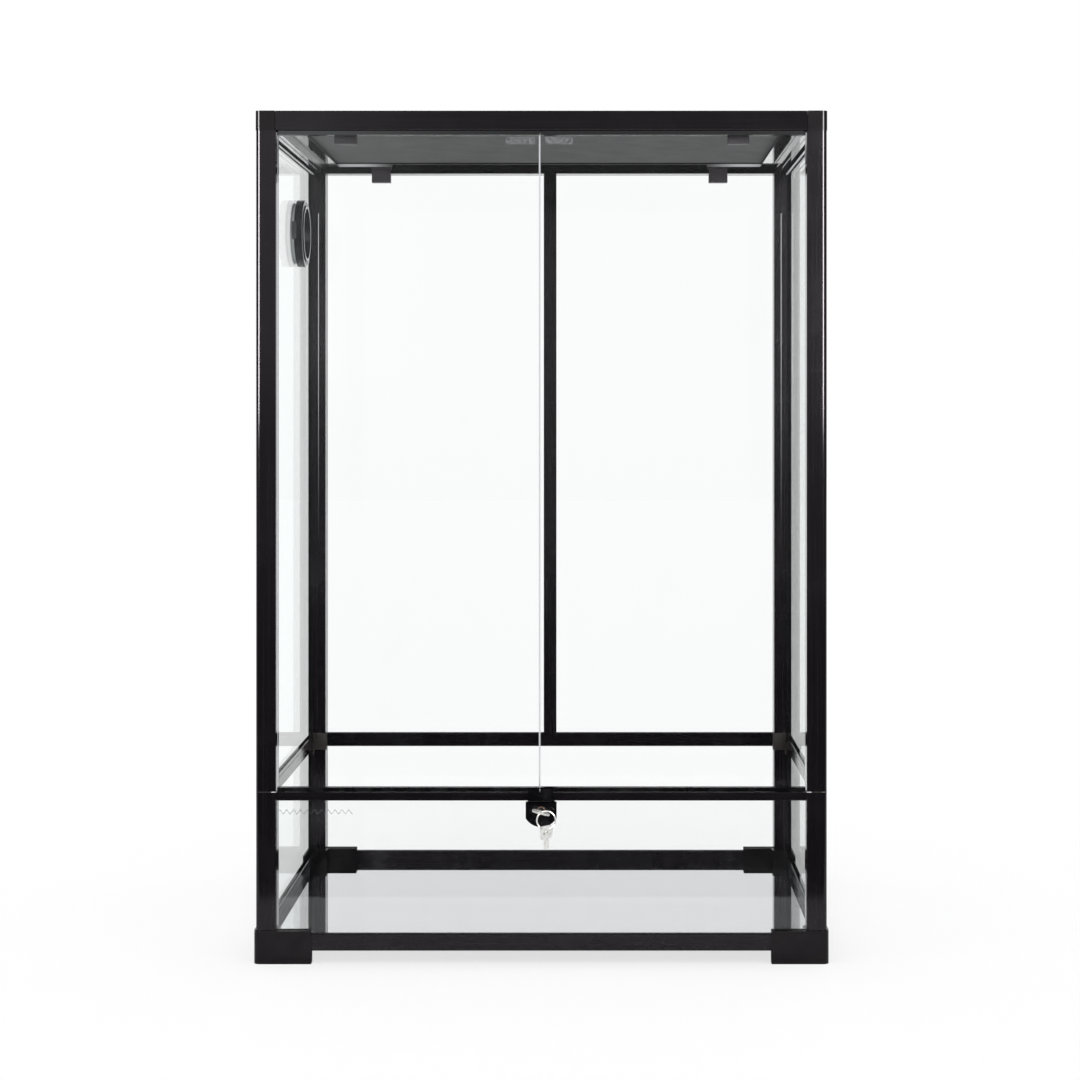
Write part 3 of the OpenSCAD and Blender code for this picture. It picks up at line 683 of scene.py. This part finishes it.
# plated metal of keys and ring
keyLook = {
    "bright": (0.88, 0.88, 0.86),
    "dull": (0.62, 0.60, 0.56),
    "roughness": (0.14, 0.26),
    "metal": 0.35,
    "darkSpeckShare": 0.75,
}
ringLook = {
    "bright": (0.90, 0.90, 0.89),
    "dull": (0.74, 0.73, 0.71),
    "roughness": (0.08, 0.16),
    "metal": 0.4,
    "darkSpeckShare": 0.0,
}
platedLook = {
    "cloud": (240, 4, 0.6, 0.4),
    "patches": (0.35, 0.8),
    "rubbing": (300, 3000, 300),  # stretch of the rubbed streaks
    "rub": (1.0, 3, 0.6),
    "rubShare": 0.05,
    "bump": (0.06, 0.0002),
    # random dark specks: painted shade standing in for the key's small holes and shaded details
    "darkSpecks": (420, 3, 0.65),
    "darkSpeckPatches": (0.60, 0.68),
    "darkSpeck": (0.10, 0.085, 0.075),
}


def plated(name, look):
    board = newBoard(name)
    place = board.place()
    cloud = board.noise(place, *platedLook["cloud"])
    rub = board.noise(board.stretched(place, platedLook["rubbing"]), *platedLook["rub"])
    colour = board.blend(cloud.smooth(*platedLook["patches"]), look["bright"], look["dull"])
    # painted shade: dark specks for the key's holes and shaded details
    if look["darkSpeckShare"]:
        darkSpecks = board.noise(place, *platedLook["darkSpecks"]).smooth(*platedLook["darkSpeckPatches"])
        colour = board.blend(darkSpecks * look["darkSpeckShare"], colour, platedLook["darkSpeck"])
    return board.finish(
        board.paint(
            Base_Color=colour,
            Metallic=look["metal"],
            Roughness=cloud.ranged(*look["roughness"]) + rub * platedLook["rubShare"],
            Normal=board.bump(rub, *platedLook["bump"]),
        )
    )


# dark barrel face with a brown turned ring
barrelLook = {
    "dark": (0.0060, 0.0050, 0.0052),
    "ring": (0.150, 0.095, 0.070),
    "radii": (0.0036, 0.0046),
    "ringShare": (0.5, 1.5),
    "turning": (2500, 200, 2500),  # stretch of the turned streaks
    "turned": (1.0, 3, 0.6),
    "metal": 0.5,
    "roughness": (0.22, 0.32),
    "bump": (0.05, 0.0002),
}


def barrelFinish():
    board = newBoard("barrelMetal")
    place = board.place()
    low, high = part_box("lock_key")
    middle = ((low.x + high.x) / 2, 0, (low.z + high.z) / 2)
    turned = board.noise(board.stretched(place, barrelLook["turning"]), *barrelLook["turned"])
    ring = within(board.distance(place, (1, 0, 1), middle), *barrelLook["radii"])
    ring = ring * turned.ranged(*barrelLook["ringShare"])
    return board.finish(
        board.paint(
            Base_Color=board.blend(ring, barrelLook["dark"], barrelLook["ring"]),
            Metallic=barrelLook["metal"],
            Roughness=turned.ranged(*barrelLook["roughness"]),
            Normal=board.bump(turned, *barrelLook["bump"]),
        )
    )


profiles = {axis: profileBlack(axis) for axis in "XYZ"}
ridgeHighlighted = profileBlack("Z", "post")
stripeReflected = profileBlack("Y", "low")
moulded = mouldedBlack("mouldedBlack")
joint = jointBlack()
portBlack = portFinish()
# the screen frame carries the painted highlight on its rear member's lower edge
screenBlack = mouldedBlack("screenBlack", lift=1.1, lacquer=True, rim=True)
clipGrey = mouldedBlack("clipGrey", clipLook, lift=4.2)
stripBlack = glossBlack("strip")
lockBlack = glossBlack("lock")
barrelMetal = barrelFinish()
keyMetal = plated("keyMetal", keyLook)
ringMetal = plated("ringMetal", ringLook)
glassX = clearGlass("paneGlassSide", "X")
glassY = clearGlass("paneGlassEnd", "Y")
holedGlass = clearGlass("holedGlass", "X", "hole")
doorGlass = clearGlass("doorGlass", "Y", "all", dust=0.008)
frontGlass = clearGlass("frontGlass", "Y", mirror=0.028)  # the low pane shows the table in front
floorGlass = clearGlass(
    "floorGlass",
    "Z",
    tint=(0.18, 0.19, 0.20),
    dust=0.02,
    mirror=0.05,
    graze=1.40,
    gleam=(0.985, 0.985, 1.0),
)
sideways = ("left", "right")


def finishOf(name):
    if name == "floor_glass":
        return floorGlass
    if name == "lower_glass_front":
        return frontGlass
    if name == "upper_glass_left":
        return holedGlass
    if name.startswith("door_glass"):
        return doorGlass
    if "glass" in name:
        return glassX if name.endswith(sideways) and "rear" not in name else glassY
    if name == "post_joiners":
        return joint
    if name.startswith(("foot_", "top_corner")):
        return moulded
    if name.startswith("upper_post_rear"):
        return ridgeHighlighted
    if "_post_" in name or name == "rear_divider":
        return profiles["Z"]
    if name.startswith("bottom_rail") and name.endswith(sideways):
        return stripeReflected
    if "rail" in name:
        return profiles["Y"] if name.endswith(sideways) else profiles["X"]
    if name.startswith("door_strips"):
        return stripBlack
    if name.startswith("door_catch") or name == "lock_housing":
        return lockBlack
    if name.startswith("port"):
        return portBlack
    if name.startswith("screen"):
        return screenBlack
    if name.startswith("clip"):
        return clipGrey
    if name == "lock_barrel":
        return barrelMetal
    return ringMetal if name == "key_ring" else keyMetal


for name, node in nodes.items():
    node.data.materials.clear()
    node.data.materials.append(finishOf(name))
print("finishes set on", len(nodes), "nodes")


def newPiece(name, mesh, body, material):
    data = bpy.data.meshes.new(name)
    mesh.to_mesh(data)
    mesh.free()
    data.materials.append(material)
    piece = bpy.data.objects.new(name, data)
    bpy.context.scene.collection.objects.link(piece)
    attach(piece, body)
    return piece


def sleeve(mesh, first, second, smooth=False):  # faces between two rings of points
    count = len(first)
    for k in range(count):
        after = (k + 1) % count
        mesh.faces.new((first[k], first[after], second[after], second[k])).smooth = smooth


# wire mesh of the screen: two crossing layers of wires
wireLook = {
    "pitch": 0.0013,
    "radius": 0.00014,
    "inset": 0.0003,
    "dark": (0.085, 0.085, 0.086),
    "light": (0.15, 0.15, 0.152),
    "cloud": (30, 4, 0.6),
    "roughness": (0.38, 0.50),
    "bump": (0.25, 0.0001),
}


def wireBlack():
    board = newBoard("wireBlack")
    place = board.place()
    weave, weft = ((board.part(place, axis) * (math.pi / wireLook["pitch"])).sine() for axis in "XY")
    cloud = board.noise(place, *wireLook["cloud"])
    return board.finish(
        board.paint(
            Base_Color=board.blend(cloud, wireLook["dark"], wireLook["light"]),
            Roughness=cloud.ranged(*wireLook["roughness"]),
            Normal=board.bump(weave * weft, *wireLook["bump"]),
        )
    )


def buildWires():
    low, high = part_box("screen_mesh")
    inset, radius, pitch = wireLook["inset"], wireLook["radius"], wireLook["pitch"]
    middle = (low.z + high.z) / 2
    mesh = bmesh.new()

    def wire(start, end, side):  # four-sided, open at its ends
        section = [way * radius for way in (side, Vector((0, 0, 1)), -side, Vector((0, 0, -1)))]
        sleeve(mesh, *([mesh.verts.new(tip + out) for out in section] for tip in (start, end)))

    x0, x1, y0, y1 = low.x + inset, high.x - inset, low.y + inset, high.y - inset
    for i in range(int((x1 - x0) / pitch) + 1):
        x = x0 + i * pitch
        wire(Vector((x, y0, middle + radius)), Vector((x, y1, middle + radius)), Vector((1, 0, 0)))
    for i in range(int((y1 - y0) / pitch) + 1):
        y = y0 + i * pitch
        wire(Vector((x0, y, middle - radius)), Vector((x1, y, middle - radius)), Vector((0, 1, 0)))
    bmesh.ops.recalc_face_normals(mesh, faces=mesh.faces)
    piece = newPiece("screenWires", mesh, "screen", wireBlack())
    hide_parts("screen_mesh")


buildWires()
print("screen wires made")

# pale sealant along the top of the side panes
sealLook = {
    "out": 0.2954,
    "height": 0.8789,
    "radius": 0.0008,
    "front": -0.180,
    "rear": 0.214,
    "steps": 40,
    "sides": 8,
    "lump": 0.08,  # how much the bead swells, and how quickly
    "beat": 2.3,
    "colours": ((0.74, 0.75, 0.76), (0.90, 0.91, 0.92)),
    "lumps": (180, 3, 0.6),
    "roughness": (0.25, 0.45),
    "bump": (0.3, 0.0003),
}


def buildSeals():
    board = newBoard("sealant")
    lump = board.noise(board.place(), *sealLook["lumps"])
    material = board.finish(
        board.paint(
            Base_Color=board.blend(lump, *sealLook["colours"]),
            Roughness=lump.ranged(*sealLook["roughness"]),
            Normal=board.bump(lump, *sealLook["bump"]),
        )
    )
    steps, sides = sealLook["steps"], sealLook["sides"]
    for side, sign in (("Left", -1), ("Right", 1)):
        mesh = bmesh.new()
        last = None
        for i in range(steps + 1):
            y = sealLook["front"] + (sealLook["rear"] - sealLook["front"]) * i / steps
            r = sealLook["radius"] * (1 + sealLook["lump"] * math.sin(i * sealLook["beat"]))
            ring = []
            for k in range(sides):
                turn = 2 * math.pi * k / sides
                x = sign * (sealLook["out"] + r * math.cos(turn))
                ring.append(mesh.verts.new((x, y, sealLook["height"] + r * math.sin(turn))))
            if last:
                sleeve(mesh, last, ring, smooth=True)
            last = ring
        bmesh.ops.recalc_face_normals(mesh, faces=mesh.faces)
        newPiece("seal" + side, mesh, "cabinet", material)


buildSeals()

# pale seal on the left door's edge, closing the gap between the doors
seamLook = {
    "lap": 0.0005,
    "reach": 0.0010,
    "thick": 0.0004,
    "crown": 1.4,  # thickness at the glass edge and at the tip, in shares of the lap's
    "tip": 0.4,
    "end": 0.0010,
    "top": 0.8784,
    "colours": ((0.58, 0.59, 0.61), (0.70, 0.71, 0.73)),
    "cloud": (120, 3, 0.6),
    "roughness": (0.3, 0.45),
    "sheen": 0.3,
    "bump": (0.1, 0.0002),
}


def buildSeam():
    board = newBoard("seamSeal")
    cloud = board.noise(board.place(), *seamLook["cloud"])
    pale = board.paint(
        Base_Color=board.blend(cloud, *seamLook["colours"]),
        Roughness=cloud.ranged(*seamLook["roughness"]),
        Specular_IOR_Level=seamLook["sheen"],
        Normal=board.bump(cloud, *seamLook["bump"]),
    )
    low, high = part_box("door_glass_left")
    thick, end = seamLook["thick"], seamLook["end"]
    back, reach = high.x - seamLook["lap"], high.x + seamLook["reach"]
    outline = (
        (back, low.y),
        (back, low.y - thick),
        (high.x, low.y - thick * seamLook["crown"]),
        (reach, low.y - thick * seamLook["tip"]),
        (reach, high.y - thick),
        (high.x, high.y - thick),
        (high.x, low.y),
    )
    mesh = bmesh.new()
    heights = (low.z + end, min(seamLook["top"], high.z - end))
    rings = [[mesh.verts.new((x, y, z)) for x, y in outline] for z in heights]
    sleeve(mesh, *rings)
    for ring in rings:
        mesh.faces.new(ring)
    bmesh.ops.recalc_face_normals(mesh, faces=mesh.faces)
    newPiece("doorSeal", mesh, "door_left", board.finish(pale))


buildSeam()
print("seals made")

# level line on the lower front pane: a thin printed wave
levelLook = {
    "left": -0.278,
    "right": -0.199,
    "height": 0.1600,
    "swing": 0.0020,
    "period": 0.0073,
    "points": 10,  # to one wave
    "dip": -0.1,  # share of the third harmonic, which sharpens the crests
    "width": 0.0009,
    "ink": (0.10, 0.105, 0.11),
    "roughness": 0.5,
    "fade": (500, 3, 0.7),
    "alpha": (0.3, 0.7, 0.45, 0.95),  # noise from and to, alpha from and to
}
printLift = 0.0001  # line and tags lie this far in front of the glass


def buildLevelLine():
    board = newBoard("levelInk")
    fade = board.noise(board.place(), *levelLook["fade"])
    ink = board.paint(
        Base_Color=rgb(levelLook["ink"]),
        Roughness=levelLook["roughness"],
        Alpha=fade.smooth(*levelLook["alpha"]),
    )
    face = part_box("lower_glass_front")[0].y - printLift
    mesh = bmesh.new()
    half, points = levelLook["width"] / 2, levelLook["points"]
    last = None
    count = int((levelLook["right"] - levelLook["left"]) / levelLook["period"] * points)
    for i in range(count + 1):
        x = levelLook["left"] + i * levelLook["period"] / points
        turn = 2 * math.pi * i / points
        wave = math.sin(turn) + math.sin(3 * turn) * levelLook["dip"]
        z = levelLook["height"] + levelLook["swing"] * wave
        pair = [mesh.verts.new((x, face, z - half)), mesh.verts.new((x, face, z + half))]
        if last:
            mesh.faces.new((last[0], pair[0], pair[1], last[1]))
        last = pair
    newPiece("levelLine", mesh, "cabinet", board.finish(ink))


buildLevelLine()

# blank film tags at the top of the doors, beside the seam
tagLook = {
    "low": 0.8647,
    "high": 0.8727,
    "tags": (("left", -0.0375, -0.0070), ("right", 0.0040, 0.0335)),
    "round": 0.0012,
    "steps": 4,  # to one rounded corner
    "film": (0.72, 0.74, 0.75),
    "roughness": 0.3,
    "cloud": (300, 3, 0.6),
    "alpha": (0.3, 0.7, 0.02, 0.22),
}


def buildTags():
    board = newBoard("tagFilm")
    cloud = board.noise(board.place(), *tagLook["cloud"])
    film = board.paint(
        Base_Color=rgb(tagLook["film"]),
        Roughness=tagLook["roughness"],
        Alpha=cloud.smooth(*tagLook["alpha"]),
    )
    material = board.finish(film)
    r, steps = tagLook["round"], tagLook["steps"]
    low, high = tagLook["low"] + r, tagLook["high"] - r
    for side, x0, x1 in tagLook["tags"]:
        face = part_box("door_glass_" + side)[0].y - printLift
        mesh = bmesh.new()
        corners = []
        for quarter, (x, z) in enumerate(((x1 - r, high), (x0 + r, high), (x0 + r, low), (x1 - r, low))):
            for step in range(steps + 1):
                turn = math.pi / 2 * (quarter + step / steps)
                corners.append(mesh.verts.new((x + r * math.cos(turn), face, z + r * math.sin(turn))))
        mesh.faces.new(corners)
        newPiece("tag" + side.title(), mesh, "door_" + side, material)


buildTags()
print("line and tags made")
